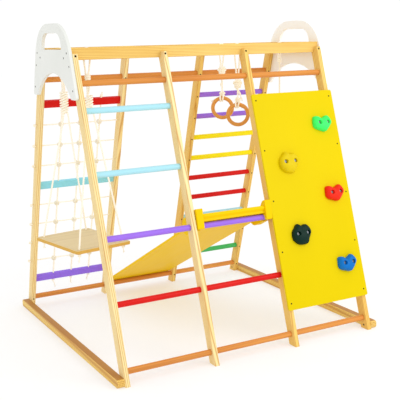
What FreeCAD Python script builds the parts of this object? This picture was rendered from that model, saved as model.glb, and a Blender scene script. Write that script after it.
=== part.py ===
import FreeCAD, Part
import os
from math import acos, atan2, cos, degrees, hypot, pi, radians, sin, tan

# Indoor wooden monkey bars: an A-frame of four front and four back posts under two ridge
# beams, with ladder rungs, a climbing panel, a climbing net, a slide, a swing, gym rings and
# a climbing rope. Millimetres, +Z up, origin on the floor in the middle of the footprint.
# The front is -Y. The swing is near -X, the climbing panel near +X.

Vec = FreeCAD.Vector
os.makedirs("parts", exist_ok=True)

# ---- driving dimensions -------------------------------------------------------------
frame_length = 1220.0      # over the outer faces of the end posts
foot_spread = 1216.0       # over the outer faces of the feet
ridge_top = 1287.0         # floor to the top of the ridge beams
lean_deg = 17.34           # lean of every post from upright
bays = 3

post_width = 21.6          # along X
post_depth = 46.6          # square to the post's own face
edge_round = 2.5           # eased long edges of the timber

ridge_height = 48.0
ridge_thick = 30.0
tongue_thick = 30.0        # post wood left outside the ridge beam, at the shoulder
tongue_height = 25.0

base_thick = 30.4
base_height = 34.0
base_end_round = 12.0
base_end_inset = 4.0

rung_dia = 25.0
socket_depth = 14.0        # blind sockets in end posts and ridge beams
seat_gap = 0.1             # glue gap round a dowel, each side
bottom_rung_z = 49.0
top_rung_z = 1147.0
ladder_rungs = 9           # between the bottom and the top rung, last bay at the back
front_steps = 4            # steps of equal height above the bottom rung at the front
front_step = 247.5
cross_rungs = 5
cross_end_inset = 84.0     # end post's outer face to the first cross rung
cross_drop = 19.0          # ridge top down to a cross rung's centre

pin_dia = 4.0
pin_head_dia = 7.0
pin_head_height = 2.0
pin_bite = 8.0             # how far a pin goes into its dowel

plate_thick = 15.0
plate_top = 1388.0
plate_bottom = 1083.0
plate_inset = 4.0          # plate edge in from the post's outer face
plate_crown_round = 170.0
plate_arch_radius = 266.0
plate_arch_top = 1184.0
plate_leg_round = 12.0
plate_edge_round = 2.0
plate_post_screws = (36.0, 131.0)   # up from the plate's foot
plate_beam_screw = (8.0, 28.0)      # in from the ridge beam's outer side, up from its underside
plate_rail_screw = (14.0, 8.0)      # in from its inner side, up from its underside
window_half_width = 121.0
window_low = 1281.0
window_high = 1348.0
window_round = 60.0        # top corners
window_low_round = 6.0

panel_thick = 9.0
panel_low = 158.0          # along the slope from the floor
panel_length = 957.0
panel_overhang = 6.5       # past the outer sides of its two posts
panel_corner = 8.0
panel_screws = 5
panel_screw_inset = 29.0
hold_side_step = 109.0     # holds to each side of their centre line
hold_centre_shift = 20.0   # that line, off the middle of the bay
hold_first = 315.0         # along the slope
hold_pitch = 161.0
hold_height = 32.0
hold_bolt_spacing = {"heart": 46.0, "flower": 50.0}
hold_bolt_rise = 4.0       # above the hold's middle
hold_bolt_dia = 8.0
hold_bolt_head_dia = 13.0
hold_bolt_head_height = 6.0
hold_recess_dia = 17.0
hold_floor = 12.0          # plastic under a bolt head
hold_bolt_past = 4.0       # the bolt's end behind the panel's back
hold_slices = ((1.0, 0.0), (0.98, 0.35), (0.88, 0.75), (0.66, 1.0))   # scale, share of the height
tee_barrel_short = 1.0     # of the panel's front

net_board_height = 34.0
net_board_thick = 18.0
net_board_levels = (1037.0, 645.0, 153.0)
net_rows = (3, 4)          # row ropes between the boards
net_columns = 3
net_upright_dia = 8.0
net_row_dia = 6.0
net_joint_dia = 24.0
net_knot_dia = 17.0
net_knot_gap = 0.3         # a net knot's clearance from the wood
net_rope_gap = 0.2         # between a row rope and an upright
rope_gap = 0.3             # a rope's clearance in or on another piece

rope_dia = 8.0
swing_half_spacing = 149.0
swing_seat_top = 455.0
swing_seat_x = 270.0
swing_seat_y = 355.0
swing_seat_thick = 15.0
swing_seat_turn_deg = 10.0  # the seat hangs a little turned
swing_seat_corner = 10.0   # rounding of the seat's corners
swing_hole_inset = 25.0
seat_knot_dia = 20.0
swing_knot_top = 1183.0
swing_knot_low = 1151.0
swing_knot_dia = 26.0
swing_strand_apart = 7.5   # from the middle of the knot, where two strands enter it
swing_coils_z = {-1: (1098.0, 1036.0), 1: (1104.0, 992.0)}   # top and foot, front and back
swing_coil_dia = 38.0

ring_outer_dia = 112.0
ring_section_dia = 18.0
ring_turn_deg = -30.0
ring_loop_gap = 0.9
ring_places = {"back": (104.0, 980.0, 1180.0, 1135.0), "front": (-38.0, 957.0, 1124.0, 1076.0)}
ring_knot_dia = 34.0

climb_eye_end = 1215.0
climb_knot_levels = (1200.0, 900.0, 700.0, 500.0)
climb_end = 330.0
climb_knot_dia = 24.0
climb_knot_height = 30.0

slide_clear = 2.0          # between the slide and the post on its left
slide_panel_clear = 1.0    # between the slide and the climbing panel's edge on its right
slide_rest_gap = 0.3       # under the slide on its two rungs
slide_board_thick = 10.0
slide_board_margin = 9.0   # board edge in from the post faces, below the cheeks
slide_tail = 20.0          # past the back bottom rung
slide_nose = 34.5          # in front of the rung that carries it
cheek_thick = 30.0
cheek_round = 38.5         # its round back end
cheek_back = 71.0          # that end's centre, behind the rung's centre
cheek_rise = 22.5          # and above it, square to the board
cheek_valley = (2.0, 45.0)  # the dip between that end and the finger
finger_lean_deg = 14.5     # the front finger, against the board's own square
finger_thick = 20.0
finger_top = 64.5
finger_top_width = 24.0
finger_drop = 18.5         # finger below the rung's centre
finger_round = 7.0
hook_gap = 0.5
bar_depth = 22.0
bar_height = 20.0
bar_bevel = (10.5, 8.0)    # cut from its lower front edge: back, and up
bar_screw_inset = 5.0      # from the crossbar's top and underside
cheek_screw_off = 20.0     # to each side of the cheek's round centre
cheek_screw_reach = 18.0   # past the cheek

# ---- derived values -----------------------------------------------------------------
lean = radians(lean_deg)
slope = tan(lean)
depth_y = post_depth / cos(lean)
rung_r = rung_dia / 2
rope_r = rope_dia / 2
half_length = frame_length / 2
bay_pitch = (frame_length - post_width) / bays
post_x = [-half_length + post_width / 2 + i * bay_pitch for i in range(bays + 1)]
ridge_low = ridge_top - ridge_height


def outer(z):
    return foot_spread / 2 - slope * z


def inner(z):
    return outer(z) - depth_y


def middle(z):
    return outer(z) - depth_y / 2


ridge_outer = outer(ridge_low) - tongue_thick
ridge_inner = ridge_outer - ridge_thick
cross_z = ridge_top - cross_drop
cross_pitch = (frame_length - 2 * cross_end_inset) / (cross_rungs - 1)
cross_x = [-half_length + cross_end_inset + i * cross_pitch for i in range(cross_rungs)]
ladder_step = (top_rung_z - bottom_rung_z) / (ladder_rungs + 1)

# The seat hangs out past the left base beam, so the frame stands off the origin by half of that.
seat_turn_rad = radians(swing_seat_turn_deg)
seat_reach = (swing_seat_corner + (swing_seat_x / 2 - swing_seat_corner) * cos(seat_turn_rad)
              + (swing_seat_y / 2 - swing_seat_corner) * sin(seat_turn_rad))
base_reach = half_length + base_thick
left_reach = max(base_reach, seat_reach - cross_x[0])
frame_x = (left_reach - base_reach) / 2


# ---- small makers -------------------------------------------------------------------
def save(node, solids):
    shape = solids[0] if len(solids) == 1 else Part.makeCompound(solids)
    shape = shape.copy()
    shape.translate(Vec(frame_x, 0, 0))
    shape.exportStep(f"parts/{node}.step")


def box(x0, x1, y0, y1, z0, z1):
    return Part.makeBox(x1 - x0, y1 - y0, z1 - z0, Vec(x0, y0, z0))


def rod(start, end, radius):
    way = end - start
    return Part.makeCylinder(radius, way.Length, start, way)


def ball(centre, radius):
    shape = Part.makeSphere(radius)
    shape.translate(centre)
    return shape


def barrel(centre, radius, height):
    """An upright round knot or coil with soft ends."""
    shape = Part.makeCylinder(radius, height, centre - Vec(0, 0, height / 2))
    ends = [e for e in shape.Edges if isinstance(e.Curve, Part.Circle)]
    return shape.makeFillet(min(radius, height / 2) * 0.45, ends)


def plate_yz(points, x0, x1):
    """A prism with the outline points (y, z), from x0 to x1."""
    wire = Part.makePolygon([Vec(x0, y, z) for y, z in points + points[:1]])
    return Part.Face(wire).extrude(Vec(x1 - x0, 0, 0))


def ease(shape, radius, wanted):
    """Round the edges for which wanted(edge) is true."""
    return shape.makeFillet(radius, [e for e in shape.Edges if wanted(e)])


def along(axis, shortest):
    """A test for straight edges along an axis, at least that long."""
    def test(edge):
        way = edge.Vertexes[-1].Point - edge.Vertexes[0].Point
        return way.Length > shortest and abs(way.normalize().dot(axis)) > 0.999
    return test


def on_front(shape):
    """From slope coordinates (x, up the slope, outwards) to the front of the frame."""
    turn = FreeCAD.Rotation(Vec(1, 0, 0), 90 - lean_deg)
    shape.Placement = FreeCAD.Placement(Vec(0, -outer(0), 0), turn).multiply(shape.Placement)
    return shape


def to_back(shape):
    return shape.mirror(Vec(0, 0, 0), Vec(0, 1, 0))


def up_slope(z, out):
    """Distance up the slope of a point at height z that lies out from the post's face."""
    return (z - out * sin(lean)) / cos(lean)


def cut_all(shape, tools):
    return shape.cut(Part.makeCompound(tools)) if tools else shape


# ---- rungs, their sockets and their pins --------------------------------------------
front_z = [bottom_rung_z + i * front_step for i in range(front_steps + 1)]
ladder_z = [top_rung_z - (i + 1) * ladder_step for i in range(ladder_rungs)]
last = bays
# each rung: node, side (-1 front, 1 back), height, first post, last post
rungs = [
    ("brown_rungs", -1, bottom_rung_z, 0, last),
    ("brown_rungs", -1, top_rung_z, 0, last),
    ("red_rungs", -1, front_z[1], 0, last - 1),
    ("purple_rungs", -1, front_z[2], 0, last - 1),
    ("light_blue_rungs", -1, front_z[3], 0, 1),
    ("light_blue_rungs", -1, front_z[4], 0, 1),
    ("brown_rungs", 1, bottom_rung_z, 0, last),
    ("brown_rungs", 1, top_rung_z, 0, last),
]
ladder_colours = ["purple"] * 2 + ["yellow"] * 2 + ["red"] * 2 + ["light_blue"] + ["green"] * 2
for colour, z in zip(ladder_colours, ladder_z):
    rungs.append((f"{colour}_rungs", 1, z, last - 1, last))


def rung_rod(side, z, first, end, grow):
    y = side * middle(z)
    reach = post_width / 2 - socket_depth - grow
    start = Vec(post_x[first] + reach, y, z)
    return rod(start, Vec(post_x[end] - reach, y, z), rung_r + grow)


def rung_pin(side, z, post):
    """A headed pin from the post's inner face into the dowel."""
    inwards = Vec(0, -side * cos(lean), -sin(lean))
    centre = Vec(post_x[post], side * middle(z), z)
    face = centre + inwards * (post_depth / 2)
    neck = face - inwards * pin_head_height
    shank = rod(centre + inwards * (rung_r - pin_bite), neck, pin_dia / 2)
    return shank.fuse(rod(neck, face, pin_head_dia / 2))


rung_nodes = {}
post_cuts = {}
pins = []
for node, side, z, first, end in rungs:
    own_pins = [rung_pin(side, z, post) for post in range(first, end + 1)]
    dowel = cut_all(rung_rod(side, z, first, end, 0), own_pins)
    rung_nodes.setdefault(node, []).append(dowel)
    pins += own_pins
    for post, pin in zip(range(first, end + 1), own_pins):
        tools = post_cuts.setdefault((side, post), [])
        tools += [rung_rod(side, z, first, end, seat_gap), pin]
for node, dowels in rung_nodes.items():
    save(node, dowels)
save("rung_pins", pins)


# ---- ridge screws and cross rungs ---------------------------------------------------
ridge_screw_dia = 5.0
ridge_screw_head_dia = 9.0
ridge_screw_head_height = 3.0
ridge_screw_z = ridge_low + 16.0
ridge_screw_reach = 20.0   # into the beam


def ridge_screw(side, post):
    """A screw through the tongue into the beam, its head sunk to the leaning face."""
    x = post_x[post]
    head_y = outer(ridge_screw_z) - slope * ridge_screw_head_dia / 2
    neck = Vec(x, side * (head_y - ridge_screw_head_height), ridge_screw_z)
    head = rod(neck, Vec(x, side * head_y, ridge_screw_z), ridge_screw_head_dia / 2)
    tip = Vec(x, side * (ridge_outer - ridge_screw_reach), ridge_screw_z)
    return head.fuse(rod(tip, neck, ridge_screw_dia / 2))


def ridge_screw_hole(side, post):
    """The hole of the same screw, which goes on out through the leaning face."""
    x = post_x[post]
    head_y = outer(ridge_screw_z) - slope * ridge_screw_head_dia / 2
    neck = Vec(x, side * (head_y - ridge_screw_head_height), ridge_screw_z)
    out = Vec(x, side * (head_y + ridge_screw_head_dia), ridge_screw_z)
    tip = Vec(x, side * (ridge_outer - ridge_screw_reach), ridge_screw_z)
    return rod(neck, out, ridge_screw_head_dia / 2).fuse(rod(tip, neck, ridge_screw_dia / 2))


def cross_rod(x, grow):
    reach = ridge_inner + socket_depth + grow
    return rod(Vec(x, -reach, cross_z), Vec(x, reach, cross_z), rung_r + grow)


ridge_screws = {side: [ridge_screw(side, i) for i in range(bays + 1)] for side in (-1, 1)}
save("ridge_screws", ridge_screws[-1] + ridge_screws[1])
save("cross_rungs", [cross_rod(x, 0) for x in cross_x])


# ---- screws of the base beams, end plates and climbing panel -------------------------
base_screw_dia = 5.0
base_screw_head_dia = 9.0
base_screw_head_height = 3.0
base_screw_z = base_height / 2
base_screw_reach = 20.0    # into the base beam


def base_screw(side, end):
    """From the inner side of an end post, out into the base beam."""
    y = side * middle(base_screw_z)
    face = Vec(end * (half_length - post_width), y, base_screw_z)
    neck = face + Vec(end * base_screw_head_height, 0, 0)
    tip = Vec(end * (half_length + base_screw_reach), y, base_screw_z)
    return rod(face, neck, base_screw_head_dia / 2).fuse(rod(neck, tip, base_screw_dia / 2))


def plate_screw_places():
    """(y, z) of one end plate's screws: into its posts, the ridge beams and the top rail."""
    into_posts = [(middle(plate_bottom + up), plate_bottom + up) for up in plate_post_screws]
    into_beam = [(ridge_outer - plate_beam_screw[0], ridge_low + plate_beam_screw[1])]
    into_rail = [(ridge_inner - plate_rail_screw[0], ridge_low + plate_rail_screw[1])]
    return [(side * y, z) for side in (-1, 1) for y, z in into_posts + into_beam + into_rail]


plate_screw_dia = 4.0
plate_screw_head_dia = 8.0
plate_screw_head_height = 2.5
plate_screw_reach = 14.0   # into the wood behind


def plate_screw(end, y, z):
    face = Vec(end * (half_length + plate_thick), y, z)
    neck = face - Vec(end * plate_screw_head_height, 0, 0)
    tip = Vec(end * (half_length - plate_screw_reach), y, z)
    head = rod(neck, face, plate_screw_head_dia / 2)
    return head.fuse(rod(tip, neck, plate_screw_dia / 2))


plate_screws = {e: [plate_screw(e, y, z) for y, z in plate_screw_places()] for e in (-1, 1)}
base_screws = {e: [base_screw(side, e) for side in (-1, 1)] for e in (-1, 1)}
save("end_plate_screws", plate_screws[-1] + plate_screws[1])
save("base_screws", base_screws[-1] + base_screws[1])

panel_high = panel_low + panel_length
panel_posts = (last - 1, last)
panel_screw_dia = 4.0
panel_screw_reach = 20.0
panel_screw_step = (panel_length - 2 * panel_screw_inset) / (panel_screws - 1)


def panel_screw(post, i):
    up = panel_low + panel_screw_inset + i * panel_screw_step
    neck = Vec(post_x[post], up, panel_thick - pin_head_height)
    head = rod(neck, Vec(post_x[post], up, panel_thick), pin_head_dia / 2)
    return on_front(head.fuse(rod(Vec(post_x[post], up, -panel_screw_reach), neck,
                                  panel_screw_dia / 2)))


panel_screw_set = {p: [panel_screw(p, i) for i in range(panel_screws)] for p in panel_posts}
save("panel_screws", [s for p in panel_posts for s in panel_screw_set[p]])


# ---- climbing net in the first bay at the back: places ------------------------------
net_depth = -post_depth / 2          # boards and uprights are at the posts' mid-depth
net_row_out = net_depth + (net_upright_dia + net_row_dia) / 2 + net_rope_gap
net_x0 = post_x[0] + post_width / 2
net_x1 = post_x[1] - post_width / 2
column_pitch = (net_x1 - net_x0) / (net_columns + 1)
column_x = [net_x0 + (i + 1) * column_pitch for i in range(net_columns)]
net_top = up_slope(net_board_levels[0], net_depth) + net_board_height / 2
net_low = up_slope(net_board_levels[-1], net_depth) - net_board_height / 2
# a row rope runs through the end post to its knot, and into a blind socket in the next post
row_ends = (net_x0 - post_width - net_knot_gap, net_x1 + socket_depth)
board_dowel_dia = 8.0
board_dowel_reach = 9.0    # into the post
board_dowel_bite = 20.0    # into the board


def net_row_levels():
    """Heights of the row ropes, evenly between the boards."""
    levels = []
    for high, low, count in zip(net_board_levels, net_board_levels[1:], net_rows):
        step = (high - low) / (count + 1)
        levels += [high - (i + 1) * step for i in range(count)]
    return levels


def row_rope(level, grow):
    up = up_slope(level, net_row_out)
    line = rod(Vec(row_ends[0] - grow, up, net_row_out), Vec(row_ends[1] + grow, up, net_row_out),
               net_row_dia / 2 + grow)
    return to_back(on_front(line))


def upright(x, grow):
    start = Vec(x, net_low - net_knot_gap - grow, net_depth)
    end = Vec(x, net_top + net_knot_gap + grow, net_depth)
    return to_back(on_front(rod(start, end, net_upright_dia / 2 + grow)))


def board_dowels(level):
    up = up_slope(level, net_depth)
    pairs = ((net_x0 - board_dowel_reach, net_x0 + board_dowel_bite),
             (net_x1 - board_dowel_bite, net_x1 + board_dowel_reach))
    return [to_back(on_front(rod(Vec(a, up, net_depth), Vec(b, up, net_depth),
                                 board_dowel_dia / 2))) for a, b in pairs]


net_dowels = [dowel for level in net_board_levels for dowel in board_dowels(level)]


# ---- posts --------------------------------------------------------------------------
def post(side, i):
    top = ridge_low + tongue_height
    outline = [(outer(0), 0), (outer(top), top), (ridge_outer, top), (ridge_outer, ridge_low),
               (inner(ridge_low), ridge_low), (inner(0), 0)]
    x0 = post_x[i] - post_width / 2
    shape = plate_yz([(side * y, z) for y, z in outline], x0, x0 + post_width)
    up = Vec(0, -side * sin(lean), cos(lean))
    shape = ease(shape, edge_round, along(up, ridge_height * 2))
    tools = post_cuts[side, i] + [ridge_screw_hole(side, i)]
    if i in (0, last):
        end = -1 if i == 0 else 1
        tools += base_screws[end] + plate_screws[end]
    if side == -1 and i in panel_posts:
        tools += panel_screw_set[i]
    if side == 1 and i in (0, 1):
        tools += [row_rope(level, seat_gap) for level in net_row_levels()] + net_dowels
    return cut_all(shape, tools)


for i in range(bays + 1):
    save(f"front_post_{i + 1}", [post(-1, i)])
    save(f"back_post_{i + 1}", [post(1, i)])


# ---- ridge beams, base beams, top end rails, end plates ------------------------------
for name, side in (("front", -1), ("back", 1)):
    y0, y1 = sorted((side * ridge_inner, side * ridge_outer))
    beam = box(-half_length, half_length, y0, y1, ridge_low, ridge_top)
    beam = ease(beam, edge_round, along(Vec(1, 0, 0), ridge_height))
    tools = [cross_rod(x, seat_gap) for x in cross_x] + ridge_screws[side]
    tools += plate_screws[-1] + plate_screws[1]
    save(f"{name}_ridge_beam", [cut_all(beam, tools)])


def base_beam(end):
    x0, x1 = sorted((end * half_length, end * (half_length + base_thick)))
    reach = foot_spread / 2 - base_end_inset
    beam = box(x0, x1, -reach, reach, 0, base_height)
    beam = ease(beam, base_end_round, along(Vec(1, 0, 0), 0))
    return cut_all(beam, base_screws[end])


def top_rail(end):
    x0, x1 = sorted((end * half_length, end * (half_length - post_width)))
    rail = box(x0, x1, -ridge_inner, ridge_inner, ridge_low, ridge_top)
    return cut_all(ease(rail, edge_round, along(Vec(0, 1, 0), 0)), plate_screws[end])


def end_plate(end):
    x0, x1 = sorted((end * half_length, end * (half_length + plate_thick)))
    low, high = outer(plate_bottom) - plate_inset, outer(plate_top) - plate_inset
    outline = [(low, plate_bottom), (high, plate_top), (-high, plate_top), (-low, plate_bottom)]
    plate = plate_yz(outline, x0, x1)
    crown = [e for e in plate.Edges if along(Vec(1, 0, 0), 0)(e) and e.Vertexes[0].Z > cross_z]
    plate = plate.makeFillet(plate_crown_round, crown)
    centre = Vec(x0, 0, plate_arch_top - plate_arch_radius)
    plate = plate.cut(Part.makeCylinder(plate_arch_radius, plate_thick, centre, Vec(1, 0, 0)))
    legs = [e for e in plate.Edges if along(Vec(1, 0, 0), 0)(e)
            and e.Vertexes[0].Z < plate_bottom + 1]
    plate = plate.makeFillet(plate_leg_round, legs)
    window = box(x0, x1, -window_half_width, window_half_width, window_low, window_high)
    top = [e for e in window.Edges if along(Vec(1, 0, 0), 0)(e) and e.Vertexes[0].Z > window_low]
    window = window.makeFillet(window_round, top)
    low = [e for e in window.Edges if along(Vec(1, 0, 0), 0)(e) and e.Vertexes[0].Z < window_low + 1]
    plate = plate.cut(window.makeFillet(window_low_round, low))
    rims = [e for e in plate.Edges
            if abs(e.Vertexes[0].X - e.Vertexes[-1].X) < 0.01]
    plate = plate.makeFillet(plate_edge_round, rims)
    return cut_all(plate, plate_screws[end])


for name, end in (("left", -1), ("right", 1)):
    save(f"base_beam_{name}", [base_beam(end)])
    save(f"end_plate_{name}", [end_plate(end)])
save("top_end_rails", [top_rail(-1), top_rail(1)])


# ---- climbing panel and its holds ---------------------------------------------------
hold_line = (post_x[panel_posts[0]] + post_x[panel_posts[1]]) / 2 + hold_centre_shift
# each hold from the bottom: node, side of the centre line, shape, turn in degrees
holds = [
    ("hold_blue", 1, "heart", 2),
    ("hold_dark_green", -1, "flower", 0),
    ("hold_red", 1, "heart", 0),
    ("hold_yellow", -1, "flower", -4),
    ("hold_light_green", 1, "heart", -2),
]


hold_shapes = {
    "heart": [(49, 6), (40, 27), (26, 37), (10, 30), (-8, 22), (-21, 32), (-34, 35), (-44, 31),
              (-47, 20), (-49, -8), (-40, -21), (-18, -30), (8, -37), (20, -31), (37, -13)],
    "flower": [(49, 8), (42, 28), (25, 42), (1, 38), (-15, 47), (-24, 42), (-33, 30), (-44, 17),
               (-48, -2), (-45, -20), (-32, -35), (-13, -45), (15, -46), (26, -40), (32, -26),
               (41, -11)],
}


def hold_outline(shape, turn, scale, out):
    """A closed smooth curve through the shape's points."""
    points = [Vec(scale * x, scale * y, out) for x, y in hold_shapes[shape]]
    curve = Part.BSplineCurve()
    curve.interpolate(points, PeriodicFlag=True)
    wire = Part.Wire(curve.toShape())
    wire.rotate(Vec(0, 0, 0), Vec(0, 0, 1), turn)
    return wire


def hold_places():
    for i, (node, side, shape, turn) in enumerate(holds):
        centre = Vec(hold_line + side * hold_side_step, hold_first + i * hold_pitch, 0)
        yield node, centre, shape, turn


def bolt_places(centre, shape):
    arm = Vec(hold_bolt_spacing[shape] / 2, 0, 0)
    middle_up = centre + Vec(0, hold_bolt_rise, 0)
    return [middle_up - arm, middle_up + arm]


tee_flange_dia = 20.0
tee_flange_thick = 1.5
tee_barrel_dia = 11.0


def hold_bolt(place):
    base = place + Vec(0, 0, panel_thick + hold_floor)
    head = rod(base, base + Vec(0, 0, hold_bolt_head_height), hold_bolt_head_dia / 2)
    return head.fuse(rod(place - Vec(0, 0, hold_bolt_past), base, hold_bolt_dia / 2))


def tee_nut(place):
    back = place - Vec(0, 0, tee_flange_thick)
    flange = rod(back, place, tee_flange_dia / 2)
    front = place + Vec(0, 0, panel_thick - tee_barrel_short)
    nut = flange.fuse(rod(place, front, tee_barrel_dia / 2))
    return nut.cut(rod(back, place + Vec(0, 0, panel_thick), hold_bolt_dia / 2))


bolts, nuts = [], []
for node, centre, shape, turn in hold_places():
    body = Part.makeLoft([hold_outline(shape, turn, scale, share * hold_height)
                          for scale, share in hold_slices], True)
    body.translate(centre + Vec(0, 0, panel_thick))
    for place in bolt_places(centre, shape):
        bolts.append(hold_bolt(place))
        nuts.append(tee_nut(place))
        seat = place + Vec(0, 0, panel_thick + hold_floor)
        body = body.cut(rod(seat, seat + Vec(0, 0, hold_height), hold_recess_dia / 2))
        body = body.cut(rod(place, seat, hold_bolt_dia / 2))
    save(node, [on_front(body)])

panel = box(post_x[panel_posts[0]] - post_width / 2 - panel_overhang,
            post_x[panel_posts[1]] + post_width / 2 + panel_overhang,
            panel_low, panel_high, 0, panel_thick)
panel = ease(panel, panel_corner, along(Vec(0, 0, 1), 0))
panel = cut_all(panel, bolts + nuts)
panel = on_front(panel)
save("climbing_panel", [cut_all(panel, [s for p in panel_posts for s in panel_screw_set[p]])])
save("hold_bolts", [on_front(b) for b in bolts])
save("hold_tee_nuts", [on_front(n) for n in nuts])


# ---- climbing net: boards, ropes, joints and knots ----------------------------------
for name, level in zip(("red", "blue", "purple"), net_board_levels):
    up = up_slope(level, net_depth)
    board = box(net_x0, net_x1, up - net_board_height / 2, up + net_board_height / 2,
                net_depth - net_board_thick / 2, net_depth + net_board_thick / 2)
    board = to_back(on_front(ease(board, edge_round, along(Vec(1, 0, 0), 0))))
    tools = board_dowels(level) + [upright(x, rope_gap) for x in column_x]
    save(f"net_board_{name}", [cut_all(board, tools)])
save("net_board_dowels", net_dowels)
save("net_uprights", [upright(x, 0) for x in column_x])
save("net_rows", [row_rope(level, 0) for level in net_row_levels()])

joints = []
for level in net_row_levels():
    up = up_slope(level, net_row_out)
    tools = [row_rope(level, seat_gap)] + [upright(x, seat_gap) for x in column_x]
    for x in column_x:
        between = (net_row_out + net_depth) / 2
        joint = to_back(on_front(ball(Vec(x, up, between), net_joint_dia / 2)))
        joints.append(cut_all(joint, tools))
save("net_joints", joints)

knot_r = net_knot_dia / 2
knots = []
for x in column_x:
    knots.append(ball(Vec(x, net_top + net_knot_gap + knot_r, net_depth), knot_r))
    knots.append(ball(Vec(x, net_low - net_knot_gap - knot_r, net_depth), knot_r))
for level in net_row_levels():
    up = up_slope(level, net_row_out)
    knots.append(ball(Vec(row_ends[0] - knot_r, up, net_row_out), knot_r))
save("net_knots", [to_back(on_front(k)) for k in knots])


# ---- ropes that hang from the cross rungs -------------------------------------------
eye_r = rung_r + rope_gap + rope_r


def tube(edges, name):
    """A rope along a path of straight runs and tangent arcs."""
    path = Part.Wire(edges)
    start = path.OrderedEdges[0]
    way = start.tangentAt(start.FirstParameter)
    section = Part.Wire(Part.makeCircle(rope_r, start.valueAt(start.FirstParameter), way))
    solid = Part.Solid(path.makePipeShell([section], True, False))
    wanted = pi * rope_r ** 2 * path.Length
    radii = [round(e.Curve.Radius, 1) for e in path.Edges if isinstance(e.Curve, Part.Circle)]
    print(name, "radii", radii, "length", round(path.Length, 1),
          "volume ratio", round(abs(solid.Volume) / wanted, 3))
    return solid


def eye(x, y, low, apart, name):
    """A rope up from low, over the cross rung at x and down again, its ends 2 * apart wide."""
    drop = cross_z - low
    turn = atan2(-drop, -apart) - acos(eye_r / hypot(drop, apart))
    side = Vec(eye_r * cos(turn), 0, eye_r * sin(turn))
    centre = Vec(x, y, cross_z)
    left = centre + side
    right = centre + Vec(-side.x, 0, side.z)
    tilt = (eye_r - apart) / drop
    foot = Vec(apart, 0, rope_r * tilt - drop)
    return tube([Part.LineSegment(centre + Vec(-foot.x, 0, foot.z), left).toShape(),
                 Part.Arc(left, centre + Vec(0, 0, eye_r), right).toShape(),
                 Part.LineSegment(right, centre + foot).toShape()], name)


# swing: each of its two ropes goes over the rung, through a knot and a coil, to two corners
swing_x = cross_x[0]
seat_turn = FreeCAD.Rotation(Vec(0, 0, 1), swing_seat_turn_deg)


def seat_hole(i, j):
    corner = Vec(i * (swing_seat_x / 2 - swing_hole_inset),
                 j * (swing_seat_y / 2 - swing_hole_inset), 0)
    return seat_turn.multVec(corner) + Vec(swing_x, 0, swing_seat_top)


seat = box(-swing_seat_x / 2, swing_seat_x / 2, -swing_seat_y / 2, swing_seat_y / 2,
           -swing_seat_thick, 0)
seat = ease(seat, swing_seat_corner, along(Vec(0, 0, 1), 0))
seat = ease(seat, edge_round, lambda e: abs(e.Vertexes[0].Z - e.Vertexes[-1].Z) < 0.01)
seat.Placement = FreeCAD.Placement(Vec(swing_x, 0, swing_seat_top), seat_turn)
seat_knot_r = seat_knot_dia / 2
swing_tubes, swing_coils, seat_knots = [], [], []
for j in (-1, 1):
    y = j * swing_half_spacing
    swing_tubes.append(eye(swing_x, y, swing_knot_top, swing_strand_apart, "swing eye"))
    knot_height = swing_knot_top - swing_knot_low
    swing_coils.append(barrel(Vec(swing_x, y, swing_knot_top - knot_height / 2),
                              swing_knot_dia / 2, knot_height))
    coil_top, coil_low = swing_coils_z[j]
    for i in (-1, 1):
        apart = i * (rope_r + rope_gap)
        swing_tubes.append(rod(Vec(swing_x + apart, y, coil_top),
                               Vec(swing_x + apart, y, swing_knot_low), rope_r))
        hole = seat_hole(i, j)
        start = Vec(swing_x + apart, y, coil_low)
        way = (hole - start).normalize()
        stop = hole - way * (rope_r * hypot(way.x, way.y) + rope_gap) / abs(way.z)
        first = start + way * (rope_r * hypot(way.x, way.y)) / abs(way.z)
        swing_tubes.append(rod(first, stop, rope_r))
        shank = rod(hole - Vec(0, 0, swing_seat_thick + 1), hole, rope_r)
        bulb = ball(hole - Vec(0, 0, swing_seat_thick + seat_knot_r), seat_knot_r)
        seat_knots.append(shank.fuse(bulb))
        seat = seat.cut(rod(hole - Vec(0, 0, 2 * swing_seat_thick), hole + Vec(0, 0, 1),
                            rope_r + rope_gap))
    coil_height = coil_top - coil_low
    swing_coils.append(barrel(Vec(swing_x, y, coil_top - coil_height / 2), swing_coil_dia / 2,
                              coil_height))
save("swing_seat", [cut_all(seat, seat_knots)])
save("swing_ropes", swing_tubes)
save("swing_coils", swing_coils)
save("swing_seat_knots", seat_knots)

# gym rings: each hangs in a double loop of its own rope
ring_x = cross_x[3]
ring_turn = FreeCAD.Rotation(Vec(0, 0, 1), ring_turn_deg)
ring_mean_r = (ring_outer_dia - ring_section_dia) / 2
ring_side = ring_turn.multVec(Vec(1, 0, 0))
loop_r = ring_section_dia / 2 + ring_loop_gap + rope_r
loop_angle = (rope_dia + rope_gap) / ring_mean_r      # round the ring, to each side of its top
strand_apart = rope_r + rope_gap
for name, (y, ring_z, knot_top, knot_low) in ring_places.items():
    centre = Vec(ring_x, y, ring_z)
    face = ring_turn.multVec(Vec(0, 1, 0))
    save(f"gym_ring_{name}", [Part.makeTorus(ring_mean_r, ring_section_dia / 2, centre, face)])
    loops = []
    for angle in (-loop_angle, loop_angle):
        out = ring_side * sin(angle) + Vec(0, 0, cos(angle))
        way = ring_side * cos(angle) - Vec(0, 0, sin(angle))
        loops.append(Part.makeTorus(loop_r, rope_r, centre + out * ring_mean_r, way))
    strand_low = ring_z + ring_outer_dia / 2 + ring_loop_gap
    strand = rod(Vec(ring_x, y, strand_low), Vec(ring_x, y, knot_low), rope_r)
    top_eye = eye(ring_x, y, knot_top, strand_apart, f"{name} ring eye")
    save(f"ring_rope_{name}", [top_eye, strand] + loops)
    height = knot_top - knot_low
    save(f"ring_knot_{name}", [barrel(Vec(ring_x, y, knot_top - height / 2), ring_knot_dia / 2,
                                      height)])

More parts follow.
